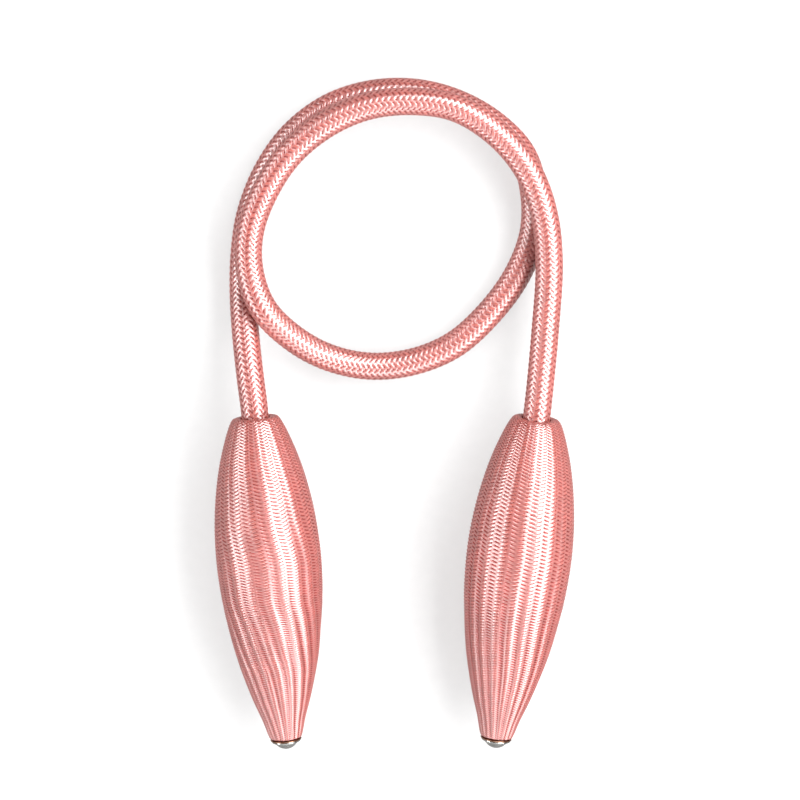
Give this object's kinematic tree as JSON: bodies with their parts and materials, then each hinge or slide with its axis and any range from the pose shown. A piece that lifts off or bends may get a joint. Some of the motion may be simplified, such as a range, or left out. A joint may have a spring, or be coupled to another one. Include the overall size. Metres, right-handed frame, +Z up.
{
  "type": "curtain tieback",
  "caption": "Bendable braided satin rope bent into a loop, with a ribbed spindle bulb and a small domed metal stud at each end, for gathering a curtain.",
  "frame": {"origin": "on the surface it lies on, midway between the two bulbs and at the middle of their length", "axes": "+Z up from the surface, +Y from the bulbs towards the rope's loop, +X from the left bulb to the right one"},
  "size_m": [0.1082, 0.2024, 0.0314],
  "materials": {
    "rope_satin": "glossy pink satin yarn in a fine herringbone braid",
    "sleeve_satin": "glossy pink satin yarn in a fine ribbed braid",
    "stud_metal": "plain bright silver-coloured metal"
  },
  "bodies": {
    "root": {"rope": "rope_satin", "bulb_left": "sleeve_satin", "bulb_right": "sleeve_satin", "stud_left": "stud_metal", "stud_right": "stud_metal"}
  },
  "joints": []
}
